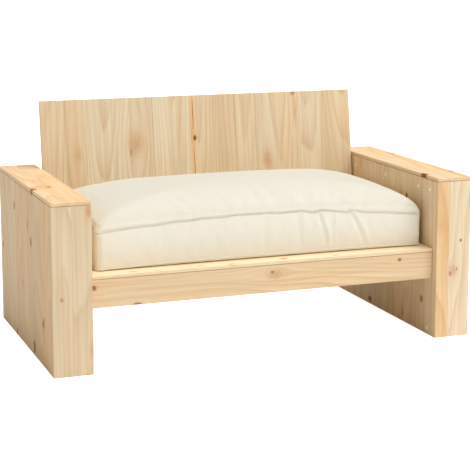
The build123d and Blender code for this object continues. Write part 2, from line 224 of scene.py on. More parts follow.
def make_pine_group():
    """Pine cut from a log. Growth rings are shells round a pith that lies behind the board,
    off the stave's centre and tapering along it, so the face shows arches and straight
    grain; each ring darkens slowly and ends sharply. Fibres and streaks run along it."""
    tree, w, given, result = new_group(
        "pine_wood",
        [("Grain", VECTOR), ("Centre", NUMBER), ("Pith", NUMBER), ("Tone", NUMBER),
         ("Warmth", NUMBER), ("Seed", NUMBER)],
        [("Color", COLOUR), ("Height", NUMBER)],
    )
    across, along, depth = w.split(given["Grain"])
    seed = w.join(given["Seed"], given["Seed"], given["Seed"])
    seeded_x, seeded_y, seeded_z = w.split(w.vector("ADD", given["Grain"], seed))
    seeded_x = w.math("MULTIPLY_ADD", given["Pith"], STAVE_SHIFT, seeded_x)
    seeded = w.join(seeded_x, seeded_y, seeded_z)

    from_centre = w.math("SUBTRACT", across, given["Centre"])
    off_centre = w.math("MULTIPLY_ADD", given["Pith"], -2 * PITH_REACH, from_centre)
    off_centre = w.math("ADD", off_centre, PITH_REACH)
    pith_depth = w.math("MULTIPLY_ADD", given["Warmth"], PITH_DEPTH_RANGE, PITH_LEAST_DEPTH)
    behind = w.math("ADD", depth, pith_depth)
    radius = w.vector("LENGTH", w.join(off_centre, behind))
    slow = w.noise(seeded, 1.0, 1.0, 0.4, stretch=(7.0, 1.3, 7.0))
    quick = w.noise(seeded, 1.0, 2.0, 0.5, stretch=(60.0, 4.0, 60.0))
    radius = w.math("MULTIPLY_ADD", slow, SLOW_WANDER, radius)
    radius = w.math("MULTIPLY_ADD", quick, QUICK_WANDER, radius)
    radius = w.math("MULTIPLY_ADD", along, TAPER, radius)
    year = w.math("FRACT", w.math("DIVIDE", radius, RING_SPACING))
    rise = w.math("POWER", year, 2.6)
    fall = w.math("MULTIPLY", w.math("SUBTRACT", 1.0, year), 9.0)
    late = w.math("MINIMUM", rise, fall, clamp=True)

    fibre = w.noise(seeded, 1.0, 2.0, 0.6, stretch=(1100.0, 22.0, 1100.0))
    streak = w.noise(seeded, 1.0, 2.0, 0.6, stretch=(120.0, 1.5, 120.0))
    cloud = w.noise(seeded, 1.0, 2.0, 0.5, stretch=(14.0, 3.0, 14.0))
    base = w.mix(given["Warmth"], CREAM, PEACH)
    streak_colour = w.mix(given["Warmth"], PALE_STREAK, WARM_STREAK)
    base = w.mix(w.smooth(streak, 0.38, 0.68, 0.0, 0.65), base, streak_colour)
    strength = w.math("MULTIPLY_ADD", w.smooth(cloud, 0.35, 0.65), 0.42, 0.22)
    late_colour = w.mix(given["Warmth"], PALE_LATEWOOD, WARM_LATEWOOD)
    base = w.mix(w.math("MULTIPLY", late, strength), base, late_colour)
    light = w.math("MULTIPLY_ADD", fibre, 0.16, 0.92)
    light = w.math("MULTIPLY", light, w.math("MULTIPLY_ADD", cloud, 0.16, 0.92))
    light = w.math("MULTIPLY", light, given["Tone"])
    w.feed(result["Color"], w.scaled(base, light))
    w.feed(result["Height"], w.math("MULTIPLY_ADD", late, 0.5, w.math("MULTIPLY", fibre, 0.5)))
    return tree


knot_group = make_knot_group()
pine_group = make_pine_group()

# How knot colour changes with distance from its centre, in knot radii.
KNOT_STOPS = [
    (0.00, srgb(70, 34, 20)),
    (0.30, srgb(124, 64, 34)),
    (0.62, srgb(172, 100, 56)),
    (0.86, srgb(96, 50, 30)),
    (1.00, srgb(204, 138, 84)),
]
KNOT_HALO = 2.3                 # warm wood reaches this far round a knot, in its radii
KNOT_HALO_COLOUR = srgb(226, 164, 102)
KNOTS_PER_SQUARE_METRE = 9
GLUE_LINE = 1 * MM
GLUE_COLOUR = srgb(176, 132, 88)


def group_node(w, tree):
    """A node that stands for a node group."""
    made = w.node("ShaderNodeGroup")
    made.node_tree = tree
    return made


def stave_stops(staves, low, high):
    """Ramp stops of one colour per stave: tone, warmth and pith, and its middle as alpha.
    A second list holds a narrow band at each glue line."""
    span = high - low
    edges = [start for start, *_ in staves] + [high]
    facts = []
    for (start, tone, warmth, pith), end in zip(staves, edges[1:]):
        middle = ((max(start, low) + end) / 2 - low) / span
        facts.append((max(0.0, (start - low) / span), (tone, warmth, pith, middle)))
    glue = [(0.0, (0, 0, 0, 1))]
    half_line = GLUE_LINE / 2 / span
    for start, *_ in staves[1:]:
        place = (start - low) / span
        glue += [(place - half_line, (1, 1, 1, 1)), (place + half_line, (0, 0, 0, 1))]
    return facts, glue


def random_staves(random, low, high, widths=(0.058, 0.098)):
    """Staves of uneven width from one side to the other, each with its own tone."""
    staves = []
    start = low
    while start == low or start < high - widths[0] / 2:
        staves.append((start, random.uniform(0.93, 1.02), random.uniform(0.1, 0.9), random.random()))
        start += random.uniform(*widths)
    return staves


def random_knots(random, across_span, along_span):
    """Small and middling knots scattered evenly over the board."""
    area = (across_span[1] - across_span[0]) * (along_span[1] - along_span[0])
    knots = []
    for _ in range(int(area * KNOTS_PER_SQUARE_METRE + random.random())):
        radius = random.choice((2.5, 3.5, 5, 7)) * MM
        knots.append((random.uniform(*across_span), random.uniform(*along_span), radius,
                      random.uniform(1.1, 1.8), random.uniform(0.35, 0.9)))
    return knots


def pine(name, across, along, across_span, along_span, staves=None, knots=None):
    """Pine for one board. across and along are directions on its face; staves are (start,
    tone, warmth, pith) and knots (across, along, radius, stretch, darkness), in metres."""
    random = Random(name)
    seed = random.uniform(0, 40)
    low, high = across_span
    if staves is None:
        staves = random_staves(random, low, high)
    if knots is None:
        knots = random_knots(random, across_span, along_span)
    depth = tuple(Vector(across).cross(Vector(along)))

    material, w, shader = new_material(f"pine_{name}")
    place = w.node("ShaderNodeTexCoord").outputs["Object"]
    across_place = w.vector("DOT_PRODUCT", place, tuple(across))
    along_place = w.vector("DOT_PRODUCT", place, tuple(along))
    depth_place = w.vector("DOT_PRODUCT", place, depth)
    board_place = w.join(across_place, along_place, depth_place)

    grain, nearest, darkness = board_place, 9.0, 0.0
    for knot_across, knot_along, radius, stretch, own in knots:
        knot = group_node(w, knot_group)
        facts = {"Place": board_place, "Grain": grain, "Nearest": nearest, "Darkness": darkness,
                 "Centre": (knot_across, knot_along, 0.0), "Radius": radius,
                 "Stretch": stretch, "Own": own}
        for label, value in facts.items():
            w.feed(knot.inputs[label], value)
        grain, nearest, darkness = knot.outputs[0], knot.outputs[1], knot.outputs[2]

    share = w.math("DIVIDE", w.math("SUBTRACT", across_place, low), high - low, clamp=True)
    facts, glue = stave_stops(staves, low, high)
    stave, middle = w.ramp(share, facts, "CONSTANT")
    tone, warmth, pith = w.split(stave)
    wood = group_node(w, pine_group)
    centre = w.math("MULTIPLY_ADD", middle, high - low, low)
    for label, value in (("Grain", grain), ("Centre", centre), ("Pith", pith), ("Tone", tone),
                         ("Warmth", warmth), ("Seed", seed)):
        w.feed(wood.inputs[label], value)
    colour = wood.outputs["Color"]

    line, _ = w.ramp(share, glue, "CONSTANT")
    colour = w.mix(w.math("MULTIPLY", line, 0.22), colour, GLUE_COLOUR)
    if knots:
        halo = w.math("MULTIPLY", w.smooth(nearest, KNOT_HALO, 0.0), 0.75)
        halo = w.math("MULTIPLY", halo, w.math("SQRT", darkness))
        colour = w.mix(halo, colour, KNOT_HALO_COLOUR)
        outer_edge = w.math("MULTIPLY_ADD", darkness, -0.8, 1.9)
        inner_edge = w.math("MULTIPLY_ADD", darkness, 0.8, 0.1)
        inside = w.smooth(nearest, outer_edge, inner_edge)
        knot_colour, _ = w.ramp(nearest, KNOT_STOPS)
        hard = w.math("POWER", darkness, 1.7)
        colour = w.mix(w.math("MULTIPLY", inside, hard), colour, knot_colour)
    w.feed(shader["Base Color"], colour)

    roughness = w.math("MULTIPLY_ADD", wood.outputs["Height"], -0.12, 0.62)
    w.feed(shader["Roughness"], roughness)
    shader["Specular IOR Level"].default_value = 0.32
    bump = w.node("ShaderNodeBump")
    bump.inputs["Strength"].default_value = 0.35
    bump.inputs["Distance"].default_value = 0.25 * MM
    w.feed(bump.inputs["Height"], wood.outputs["Height"])
    w.feed(shader["Normal"], bump.outputs[0])
    return material


X, Y, Z = Vector((1, 0, 0)), Vector((0, 1, 0)), Vector((0, 0, 1))
LEAN = radians(8)
DOWN_BACK = Vector((0, -sin(LEAN), -cos(LEAN)))


def paint(node, material):
    """Give a CAD node's object one material."""
    mesh = nodes[node].data
    mesh.materials.clear()
    mesh.materials.append(material)


def reach(node, direction):
    """Lowest and highest place of a CAD node along a direction."""
    mesh = nodes[node].data
    points = np.empty(len(mesh.vertices) * 3, np.float32)
    mesh.vertices.foreach_get("co", points)
    along = points.reshape(-1, 3) @ np.array(direction, np.float32)
    return float(along.min()), float(along.max())


def pine_board(node, across, along, **facts):
    """Pine for a CAD board, with its spans read from its mesh."""
    paint(node, pine(node, across, along, reach(node, across), reach(node, along), **facts))


# Staves and knots given for the boards that are seen first.
BACK_TOP = Vector((0, 0.242, 0.598)).dot(DOWN_BACK)     # the backrest's top edge
BACKREST_STAVES = [
    (-0.4525, 0.93, 0.4, 0.2),
    (-0.385, 0.925, 0.5, 0.55),
    (-0.338, 0.955, 0.12, 0.5),
    (-0.205, 0.93, 0.25, 0.05),
    (-0.141, 0.975, 0.12, 0.9),
    (-0.082, 0.955, 0.2, 0.15),
    (-0.033, 1.0, 1.0, 0.3),
    (-0.020, 0.925, 0.45, 0.1),
    (0.046, 0.925, 0.42, 0.95),
    (0.099, 0.94, 0.3, 0.6),
    (0.159, 0.95, 0.28, 0.75),
    (0.232, 0.955, 0.48, 0.1),
    (0.296, 0.965, 0.2, 0.35),
    (0.368, 0.955, 0.42, 0.8),
]
BACKREST_KNOTS = [
    (-0.022, BACK_TOP + 0.119, 6 * MM, 1.3, 0.95),
    (-0.0235, BACK_TOP + 0.055, 1.2 * MM, 45, 0.85),
    (-0.0240, BACK_TOP + 0.19, 1.2 * MM, 52, 0.85),
    (-0.027, BACK_TOP + 0.12, 5 * MM, 26, 0.1),
    (-0.189, BACK_TOP + 0.128, 19 * MM, 1.5, 0.32),
    (-0.205, BACK_TOP + 0.147, 3 * MM, 4, 0.55),
    (-0.354, BACK_TOP + 0.15, 9 * MM, 1.6, 0.2),
    (0.283, BACK_TOP + 0.05, 4 * MM, 9, 0.16),
    (0.192, BACK_TOP + 0.192, 13 * MM, 1.8, 0.3),
    (0.278, BACK_TOP + 0.002, 7 * MM, 1.4, 0.6),
    (0.36, BACK_TOP + 0.32, 6 * MM, 1.3, 0.7),
    (-0.36, BACK_TOP + 0.34, 5 * MM, 1.4, 0.8),
]
LEFT_OUTER_STAVES = [
    (-0.291, 0.95, 1.0, 0.3),
    (-0.214, 0.93, 0.9, 0.6),
    (-0.128, 0.90, 0.75, 0.4),
    (-0.042, 0.95, 0.8, 0.8),
    (0.018, 0.93, 0.9, 0.2),
    (0.102, 0.95, 0.6, 0.7),
    (0.19, 0.92, 0.7, 0.5),
]
LEFT_OUTER_KNOTS = [
    (0.112, 0.345, 6 * MM, 1.8, 0.9),
    (-0.044, 0.335, 8 * MM, 1.2, 0.3),
    (-0.044, 0.322, 4 * MM, 3.4, 0.9),
    (-0.079, 0.286, 6 * MM, 2.4, 0.95),
    (-0.079, 0.257, 2.5 * MM, 4, 0.4),
    (0.269, 0.211, 6 * MM, 1.5, 0.8),
    (0.027, 0.159, 6 * MM, 1.6, 0.4),
    (-0.201, 0.107, 9 * MM, 1.1, 0.75),
    (-0.208, 0.12, 4 * MM, 1.5, 0.8),
    (-0.095, 0.024, 10 * MM, 1.6, 0.9),
    (0.112, 0.01, 6 * MM, 1.5, 0.85),
    (-0.098, 0.410, 5 * MM, 1.2, 0.95),
]
LEFT_FRONT_STAVES = [(-0.5525, 0.92, 0.32, 0.35), (-0.504, 0.905, 0.4, 0.6)]
ARM_TOP_STAVES = {-1: [(-0.5525, 1.0, 0.75, 0.2), (-0.51, 1.01, 0.9, 0.8)],
                  1: [(0.4555, 1.0, 0.6, 0.1), (0.5, 1.02, 0.85, 0.7)]}
LEFT_FRONT_KNOTS = [
    (-0.530, 0.188, 3.5 * MM, 1.3, 0.55),
    (-0.462, 0.396, 7 * MM, 2.2, 0.4),
    (-0.458, 0.06, 6 * MM, 3, 0.25),
]
RIGHT_FRONT_STAVES = [(0.4555, 1.0, 0.95, 0.25), (0.490, 1.03, 0.22, 0.85)]
RIGHT_FRONT_KNOTS = [
    (0.525, 0.255, 2.6 * MM, 1.4, 0.9),
    (0.497, 0.170, 4.5 * MM, 1.6, 0.62),
    (0.505, 0.176, 11 * MM, 1.2, 0.3),
    (0.515, 0.180, 2.5 * MM, 1.4, 0.6),
    (0.47, 0.3, 12 * MM, 1.6, 0.15),
]
LEFT_TOP_KNOTS = [
    (-0.505, -0.077, 6 * MM, 1.1, 0.85),
    (-0.52, -0.06, 14 * MM, 1.2, 0.2),
    (-0.549, -0.098, 9 * MM, 1.4, 0.85),
]
RIGHT_TOP_KNOTS = [
    (0.552, 0.142, 9 * MM, 1.6, 0.85),
    (0.552, -0.206, 9 * MM, 1.6, 0.85),
    (0.456, -0.222, 9 * MM, 1.7, 0.95),
]
RIGHT_INNER_KNOTS = [
    (-0.128, 0.347, 4.5 * MM, 2, 0.95),
    (0.085, 0.014, 9 * MM, 1.0, 0.9),
    (-0.222, 0.087, 9 * MM, 1.0, 0.72),
    (-0.116, 0.024, 3 * MM, 5, 0.5),
    (0.16, 0.39, 6 * MM, 1.3, 0.1),
]
RAIL_KNOTS = [
    (0.207, 0.010, 5 * MM, 1.5, 0.7),
    (0.202, 0.016, 11 * MM, 1.6, 0.3),
    (0.212, 0.360, 4 * MM, 1.2, 0.85),
    (0.206, -0.449, 6 * MM, 1.3, 0.85),
    (0.157, -0.340, 4 * MM, 2.6, 0.85),
]
SLAT_KNOTS = [
    (-0.262, 0.046, 4 * MM, 2.6, 0.95),
    (-0.272, -0.097, 5 * MM, 1.8, 0.5),
    (-0.270, 0.184, 4 * MM, 1.8, 0.5),
    (-0.268, -0.346, 4 * MM, 2.4, 0.55),
    (-0.272, -0.289, 3 * MM, 2.4, 0.35),
    (-0.266, -0.177, 3.5 * MM, 2.2, 0.45),
]


def paint_boards():
    """Grain runs up the arms' panels, along the arm tops, and across the seat parts."""
    hand_placed = {
        "left_arm_outer_panel": {"staves": LEFT_OUTER_STAVES, "knots": LEFT_OUTER_KNOTS},
        "left_arm_front_panel": {"staves": LEFT_FRONT_STAVES, "knots": LEFT_FRONT_KNOTS},
        "right_arm_front_panel": {"staves": RIGHT_FRONT_STAVES, "knots": RIGHT_FRONT_KNOTS},
        "left_arm_top_panel": {"staves": ARM_TOP_STAVES[-1], "knots": LEFT_TOP_KNOTS},
        "right_arm_top_panel": {"staves": ARM_TOP_STAVES[1], "knots": RIGHT_TOP_KNOTS},
        "right_arm_inner_panel": {"knots": RIGHT_INNER_KNOTS},
        "front_rail": {"staves": [(0.156, 0.985, 0.6, 0.02)], "knots": RAIL_KNOTS},
        "seat_slat_1": {"staves": [(-0.28, 1.04, 0.35, 0.8)], "knots": SLAT_KNOTS},
    }
    for node in nodes:
        facts = hand_placed.get(node, {})
        if node == "backrest_panel":
            pine_board(node, X, DOWN_BACK, staves=BACKREST_STAVES, knots=BACKREST_KNOTS)
        elif "backrest_cleat" in node and "screws" not in node:
            pine_board(node, X, DOWN_BACK)
        elif "outer_panel" in node or "inner_panel" in node:
            pine_board(node, Y, Z, **facts)
        elif "front_panel" in node or "back_panel" in node:
            pine_board(node, X, Z, **facts)
        elif "top_panel" in node:
            pine_board(node, X, Y, **facts)
        elif "top_cleat" in node or "seat_bearer" in node:
            pine_board(node, Z, Y)
        elif node.endswith("_cleat"):
            pine_board(node, Y, Z)
        elif "seat_slat" in node:
            pine_board(node, Y, X, **facts)
        elif "rail" in node:
            pine_board(node, Z, X, **facts)
        elif "batten" in node and "screws" not in node:
            pine_board(node, DOWN_BACK, X)


# ---- metal and plastic --------------------------------------------------------------
ZINC_BLOOM = srgb(212, 209, 200)


def zinc(name, colour, roughness):
    """Zinc plating: a clouded grey metal with fine rolling marks."""
    material, w, shader = new_material(name)
    place = w.node("ShaderNodeTexCoord").outputs["Object"]
    cloud = w.noise(place, 350.0, 3.0, 0.6)
    scratch = w.noise(place, 1.0, 2.0, 0.6, stretch=(4000.0, 400.0, 400.0))
    w.feed(shader["Base Color"], w.mix(cloud, colour, ZINC_BLOOM))
    w.feed(shader["Roughness"], w.math("MULTIPLY_ADD", scratch, 0.2, roughness))
    shader["Metallic"].default_value = 1.0
    return material


def cap_plastic():
    """Cream moulded plastic, slightly uneven in gloss."""
    material, w, shader = new_material("cap_plastic")
    place = w.node("ShaderNodeTexCoord").outputs["Object"]
    mottle = w.noise(place, 900.0, 2.0, 0.5)
    w.feed(shader["Base Color"], w.mix(mottle, srgb(255, 246, 224), srgb(252, 236, 208)))
    w.feed(shader["Roughness"], w.math("MULTIPLY_ADD", mottle, 0.15, 0.32))
    shader["Specular IOR Level"].default_value = 0.5
    return material


def paint_fittings():
    """Zinc on the screws and brackets, plastic on the caps."""
    screw_zinc = zinc("screw_zinc", srgb(180, 176, 166), 0.28)
    bracket_zinc = zinc("bracket_zinc", srgb(166, 163, 155), 0.36)
    for node in nodes:
        if node.endswith("screws"):
            paint(node, screw_zinc)
    paint("seat_brackets", bracket_zinc)
    paint("arm_screw_caps", cap_plastic())


# ---- cushion -------------------------------------------------------------------------
SEAT_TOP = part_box("seat_slat_1")[1].z
cover_low, cover_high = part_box("cushion_cover")
BULGE = 5 * MM                   # room left for the boxing to swell inside the CAD box
CUSHION_MIDDLE = (cover_low + cover_high) / 2
HALF_X = (cover_high.x - cover_low.x) / 2 - BULGE
HALF_Y = (cover_high.y - cover_low.y) / 2 - BULGE
CORNER = 15 * MM
TOP_SEAM_CORNER = SEAT_TOP + 93 * MM
TOP_SEAM_RISE = 15 * MM          # the top seam rises this much between the corners
TOP_SEAM_DRIFT = [(-0.44, 0.0), (-0.3, 0.0), (-0.05, 6.4), (0.13, 3.3), (0.23, -2.5),
                  (0.35, -9.0), (0.44, -10.0)]      # and settles by this, in mm, across
BOTTOM_SEAM_CORNER = SEAT_TOP + 2.5 * MM
BOTTOM_SEAM_RISE = 7 * MM
PULL_IN = 4 * MM                 # and both seams are drawn in by this much
CROWN_TOP = SEAT_TOP + 174 * MM
FULLNESS = 0.42                  # how square the crown's edge is; smaller is squarer


def outline(count):
    """A rounded rectangle: a corner's centre slides along each straight side while the
    direction stays, and the direction turns a quarter at each corner. Returns points and
    outward directions, evenly spaced."""
    side_x, side_y, arc = 2 * (HALF_X - CORNER), 2 * (HALF_Y - CORNER), CORNER * pi / 2
    steps = np.cumsum([0, side_x, arc, side_y, arc, side_x, arc, side_y, arc])
    right, back = HALF_X - CORNER, HALF_Y - CORNER
    centre_x = [-right, right, right, right, right, -right, -right, -right, -right]
    centre_y = [-back, -back, -back, back, back, back, back, -back, -back]
    turn = [-pi / 2, -pi / 2, 0, 0, pi / 2, pi / 2, pi, pi, 3 * pi / 2]
    along = np.linspace(0, steps[-1], count, endpoint=False)
    angle = np.interp(along, steps, turn)
    way = np.stack([np.cos(angle), np.sin(angle)], 1)
    middle = np.stack([np.interp(along, steps, centre_x), np.interp(along, steps, centre_y)], 1)
    return middle + way * CORNER, way


def between_corners(points):
    """0 at the corners, rising to 1 in the middle of each side."""
    share = np.abs(points) / np.array([HALF_X, HALF_Y])
    return np.clip(2 - share[:, 0] ** 3 - share[:, 1] ** 3, 0, 1)


def seam_wave(points):
    """The puckers that the top seam has along the right half of the front."""
    x, y = points[:, 0], points[:, 1]
    front = y < -HALF_Y * 0.9
    window = np.exp(-(((x - 0.17) / 0.13) ** 2)) + 0.35 * np.exp(-(((x + 0.1) / 0.2) ** 2))
    wave = np.sin(x * 2 * pi / 0.083 + 1.2) + 0.5 * np.sin(x * 2 * pi / 0.047)
    return np.where(front, 2.2 * MM * window * wave, 0.6 * MM * wave)


def seam_line(kind, count, spread=0.0):
    """Points of the top or bottom seam round the cushion, in the bed's frame."""
    points, way = outline(count)
    middle = between_corners(points)
    points = points + way * (spread - PULL_IN * middle)[:, None]
    if kind == "top":
        drift = np.interp(points[:, 0], *np.array(TOP_SEAM_DRIFT).T) * MM
        height = TOP_SEAM_CORNER + TOP_SEAM_RISE * middle + drift + seam_wave(points)
    else:
        height = BOTTOM_SEAM_CORNER + BOTTOM_SEAM_RISE * middle
    flat = points + np.array([CUSHION_MIDDLE.x, CUSHION_MIDDLE.y])
    return np.column_stack([flat, height]), way


def new_mesh(name, points, faces, smooth=True):
    """An object of a new mesh, linked to the scene."""
    mesh = bpy.data.meshes.new(name)
    mesh.from_pydata(points.tolist(), [], faces)
    mesh.update()
    mesh.polygons.foreach_set("use_smooth", [smooth] * len(mesh.polygons))
    made = bpy.data.objects.new(name, mesh)
    bpy.context.scene.collection.objects.link(made)
    return made


def grid_faces(rows, columns, closed_rows=False, closed_columns=True):
    """Quads between the points of a grid stored row by row."""
    row_count = rows if closed_rows else rows - 1
    column_count = columns if closed_columns else columns - 1
    row, column = np.meshgrid(np.arange(row_count), np.arange(column_count), indexing="ij")
    next_row = (row + 1) % rows
    next_column = (column + 1) % columns
    corners = [row * columns + column, row * columns + next_column,
               next_row * columns + next_column, next_row * columns + column]
    return np.stack(corners, -1).reshape(-1, 4).tolist()


def cushion_blank(around=240):
    """The cover before it is stuffed: rings from the middle of the flat bottom, out to the
    bottom seam, up the boxing to the top seam, and over the crown to its middle. On the
    top, height is crown * (1 - s^2)^FULLNESS for a ring at share s of the way out."""
    bottom, way = seam_line("bottom", around)
    top, _ = seam_line("top", around)
    middle = np.array([CUSHION_MIDDLE.x, CUSHION_MIDDLE.y])
    rings = []
    for share in (0.02, 0.3, 0.6, 0.8, 0.9, 0.95, 0.975, 0.99, 1.0):
        flat = middle + share * (bottom[:, :2] - middle)
        rest = SEAT_TOP + 1 * MM
        rings.append(np.column_stack([flat, rest + (bottom[:, 2] - rest) * share**110]))
    for share in (0.12, 0.25, 0.4, 0.5, 0.6, 0.75, 0.88):
        level = bottom + share * (top - bottom)
        level[:, :2] += way * (BULGE * 0.6 * sin(pi * share))
        rings.append(level)
    for share in (1.0, 0.985, 0.96, 0.92, 0.87, 0.8, 0.7, 0.58, 0.44, 0.3, 0.15, 0.02):
        flat = middle + share * (top[:, :2] - middle)
        rise = (1 - share**2) ** FULLNESS
        rings.append(np.column_stack([flat, top[:, 2] + (CROWN_TOP - top[:, 2]) * rise]))
    points = np.concatenate(rings)
    faces = grid_faces(len(rings), around)
    last = (len(rings) - 1) * around
    faces.append(list(range(around))[::-1])
    faces.append(list(range(last, last + around)))
    return new_mesh("cushion", points, faces)


def apply_modifiers(piece):
    """Replace a piece's mesh by what its modifiers make of it."""
    depsgraph = bpy.context.evaluated_depsgraph_get()
    done = bpy.data.meshes.new_from_object(piece.evaluated_get(depsgraph))
    piece.modifiers.clear()
    piece.data = done


def vertex_array(mesh):
    """The mesh's points, one row each."""
    points = np.empty(len(mesh.vertices) * 3, np.float32)
    mesh.vertices.foreach_get("co", points)
    return points.reshape(-1, 3).astype(float)


def move_points(mesh, points):
    """Put the mesh's points at new places."""
    mesh.vertices.foreach_set("co", points.astype(np.float32).ravel())
    mesh.update()


def nearest_distance(points, line):
    """Distance from each point to the nearest point of a line, in slices to save memory."""
    found = np.empty(len(points))
    for start in range(0, len(points), 2000):
        piece = points[start:start + 2000]
        gap = np.linalg.norm(piece[:, None, :] - line[None, :, :], axis=2)
        found[start:start + 2000] = gap.min(1)
    return found


FOOT_HEIGHT = 8 * MM    # the cover stands nearly upright this far above the seat
FOOT_INSET = 3 * MM
zipper_low, zipper_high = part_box("cushion_zipper_tape")
ZIPPER_MIDDLE = (zipper_low + zipper_high) / 2
ZIPPER_HALF = (zipper_high - zipper_low) / 2
ZIPPER_FRONT = zipper_low.y
SIM_SHARE = 0.24        # share of the simulated movement that is kept
MOST_MOVE = 16 * MM


def stuff(cushion):
    """Inflate the cover as cloth with both seams held, so the crown and boxing puff out
    between them and pucker beside them. A share of that movement is kept, and the
    underside is kept on the seat."""
    voxel = cushion.modifiers.new("voxels", "REMESH")
    voxel.mode = "VOXEL"
    voxel.voxel_size = 6 * MM
    apply_modifiers(cushion)
    start = vertex_array(cushion.data)
    seams = np.concatenate([seam_line("top", 900)[0], seam_line("bottom", 900)[0]])
    gap = nearest_distance(start, seams)
    held = cushion.vertex_groups.new(name="held")
    for index in np.flatnonzero(gap < 6.5 * MM):
        held.add([int(index)], 1.0, "REPLACE")

    cloth = cushion.modifiers.new("stuffing", "CLOTH")
    settings = cloth.settings
    settings.quality = 5
    settings.mass = 0.15
    settings.tension_stiffness = 18
    settings.compression_stiffness = 18
    settings.shear_stiffness = 5
    settings.bending_stiffness = 0.4
    settings.vertex_group_mass = "held"
    settings.shrink_min = -0.035
    settings.use_pressure = True
    settings.uniform_pressure_force = 4.0
    settings.effector_weights.gravity = 0.0
    cloth.point_cache.frame_start = 1
    cloth.point_cache.frame_end = 20
    for step in range(1, 21):
        bpy.context.scene.frame_set(step)
    apply_modifiers(cushion)
    bpy.context.scene.frame_set(1)

    points = vertex_array(cushion.data)
    move = points - start
    length = np.linalg.norm(move, axis=1)
    share = SIM_SHARE * np.minimum(1, MOST_MOVE / np.maximum(length, 1e-9))
    points = start + move * share[:, None]
    points[:, 2] = np.maximum(points[:, 2], SEAT_TOP + 0.6 * MM)
    move_points(cushion.data, points)


def make_cushion():
    """The whole cover: blank, stuffing, one subdivision, then folds and seams."""
    cushion = cushion_blank()
    stuff(cushion)
    finer = cushion.modifiers.new("finer", "SUBSURF")
    finer.levels = finer.render_levels = 1
    apply_modifiers(cushion)
    press_folds(cushion)
    press_seams(cushion)
    cushion.data.polygons.foreach_set("use_smooth", [True] * len(cushion.data.polygons))
    return cushion


# Folds pressed into the front boxing: x at the top and bottom seam, depth and half width.
FRONT_FOLDS = [
    (0.006, 0.004, 1.0 * MM, 9 * MM),
    (0.094, 0.102, 1.2 * MM, 8 * MM),
    (0.150, 0.174, 2.1 * MM, 6 * MM),
    (0.190, 0.188, 0.9 * MM, 5 * MM),
    (0.234, 0.280, 2.5 * MM, 7 * MM),
    (-0.26, -0.25, 0.8 * MM, 14 * MM),
    (-0.12, -0.13, 0.8 * MM, 12 * MM),
]
GROOVE_DEPTH = 3.2 * MM
GROOVE_WIDTH = 2.2 * MM
EAR = 3.5 * MM          # the top seam's corners are drawn out by this much
EAR_WIDTH = 16 * MM


def press_folds(cushion):
    """Each fold is a valley along a straight line between the seams with a softer ridge on
    its right, both bell-shaped across. It starts at the top seam and fades out below."""
    points = vertex_array(cushion.data)
    low = BOTTOM_SEAM_CORNER + BOTTOM_SEAM_RISE
    high = TOP_SEAM_CORNER + TOP_SEAM_RISE
    up = (points[:, 2] - low) / (high - low)
    front = points[:, 1] < CUSHION_MIDDLE.y - HALF_Y + 25 * MM
    fade = np.clip(3.5 * up, 0, 1) * np.clip(14 * (1.04 - up), 0, 1) * front
    push = np.zeros(len(points))
    for top_x, bottom_x, depth, width in FRONT_FOLDS:
        line = bottom_x + (top_x - bottom_x) * np.clip(up, 0, None) ** 1.4
        across = (points[:, 0] - line) / width
        push += depth * (np.exp(-across**2) - 0.6 * np.exp(-((across - 2) ** 2)))
    points[:, 1] += push * fade
    move_points(cushion.data, points)


def outline_facts(points):
    """For each point: how far it is inside the seams' outline, and the way out."""
    flat = points[:, :2] - np.array([CUSHION_MIDDLE.x, CUSHION_MIDDLE.y])
    edge = np.clip(np.abs(flat) - np.array([HALF_X - CORNER, HALF_Y - CORNER]), 0, None)
    length = np.linalg.norm(edge, axis=1)
    outward = np.sign(flat) * edge / np.maximum(length, 1e-9)[:, None]
    return CORNER - PULL_IN * between_corners(flat) - length, outward


def corner_ears(points):
    """How far each point is drawn out diagonally from the middle, in a bell-shaped patch
    round the nearest corner of the top seam."""
    corner = np.array([HALF_X, HALF_Y]) - 0.3 * CORNER
    flat = points[:, :2] - np.array([CUSHION_MIDDLE.x, CUSHION_MIDDLE.y])
    away = np.column_stack([np.abs(flat) - corner, points[:, 2] - TOP_SEAM_CORNER])
    bell = np.exp(-np.sum(away**2, 1) / EAR_WIDTH**2)
    pull = EAR / 2**0.5 * bell[:, None] * np.sign(flat)
    return np.column_stack([pull, np.zeros(len(points))])


def press_seams(cushion):
    """Groove the cover along the top seam, draw its corners out into small ears, fill out
    its foot down to the seat, and lay the back boxing flat behind the zipper."""
    points = vertex_array(cushion.data)
    inset, outward = outline_facts(points)
    gap = nearest_distance(points, seam_line("top", 1400)[0])
    depth = GROOVE_DEPTH * np.exp(-(gap / GROOVE_WIDTH) ** 2)
    points[:, :2] -= outward * depth[:, None]
    points += corner_ears(points)

    foot = SEAT_TOP + FOOT_HEIGHT
    low = np.clip((foot - points[:, 2]) / FOOT_HEIGHT, 0, 1)
    near = np.clip(2 - inset / FOOT_HEIGHT, 0, 1) * (points[:, 2] < foot + FOOT_HEIGHT)
    near *= np.clip((foot + FOOT_HEIGHT - points[:, 2]) / FOOT_HEIGHT, 0, 1)
    points[:, :2] += outward * ((inset - FOOT_INSET * low**2) * near)[:, None]

    across = np.abs(points[:, 0] - CUSHION_MIDDLE.x)
    above = np.abs(points[:, 2] - ZIPPER_MIDDLE.z)
    flat = np.clip((ZIPPER_HALF.x + 40 * MM - across) / (35 * MM), 0, 1)
    flat *= np.clip((ZIPPER_HALF.z + 22 * MM - above) / (18 * MM), 0, 1)
    flat *= points[:, 1] > CUSHION_MIDDLE.y + HALF_Y - 20 * MM
    points[:, 1] += (ZIPPER_FRONT + 0.2 * MM - points[:, 1]) * flat
    move_points(cushion.data, points)


